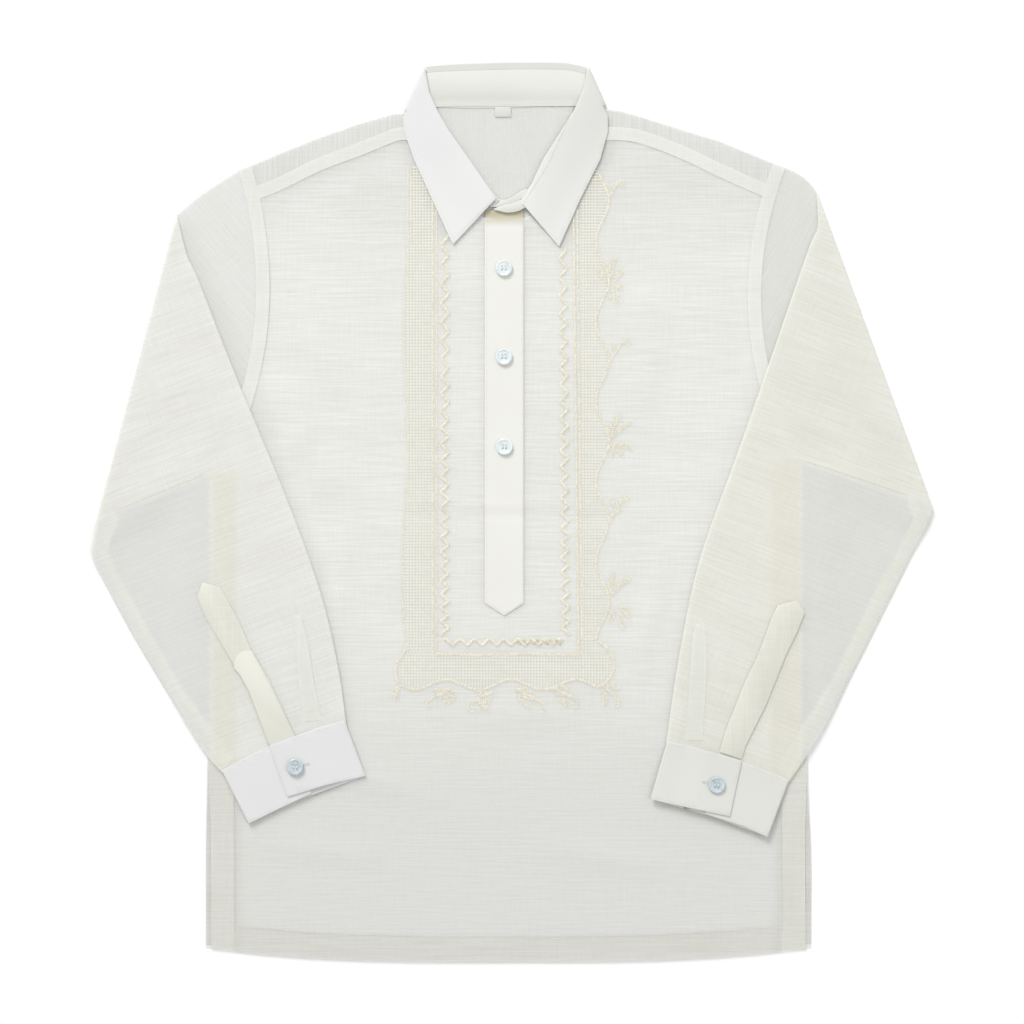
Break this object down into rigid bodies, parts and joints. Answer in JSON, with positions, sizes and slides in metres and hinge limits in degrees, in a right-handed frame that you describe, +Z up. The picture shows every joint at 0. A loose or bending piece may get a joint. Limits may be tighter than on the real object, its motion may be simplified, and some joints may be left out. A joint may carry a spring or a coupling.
{
  "type": "barong tagalog shirt",
  "caption": "Sheer long-sleeved pullover shirt laid flat, with a pointed collar, half placket, embroidered front and cuffed sleeves folded over the front.",
  "frame": {"origin": "on the surface that the shirt lies on, under the middle of its outline", "axes": "+Z up off the surface, out of the shirt's front; +Y from hem to collar; +X towards the wearer's left sleeve"},
  "size_m": [0.7567, 0.8099, 0.0095],
  "materials": {
    "body_cloth": "sheer, slubbed, crisp",
    "fused_cloth": "opaque, smooth, matt",
    "thread": "soft sheen",
    "label_ribbon": "satin",
    "button_resin": "pearly gloss"
  },
  "bodies": {
    "root": {"back": "body_cloth", "yoke": "body_cloth", "front": "body_cloth", "sleeve_left": "body_cloth", "sleeve_right": "body_cloth", "placket": "fused_cloth", "collar_band": "fused_cloth", "collar_leaf": "fused_cloth", "sleeve_placket_left": "fused_cloth", "sleeve_placket_right": "fused_cloth", "cuff_left": "fused_cloth", "cuff_right": "fused_cloth", "label": "label_ribbon", "button_front_1": "button_resin", "button_front_2": "button_resin", "button_front_3": "button_resin", "button_cuff_left": "button_resin", "button_cuff_right": "button_resin"}
  },
  "joints": []
}
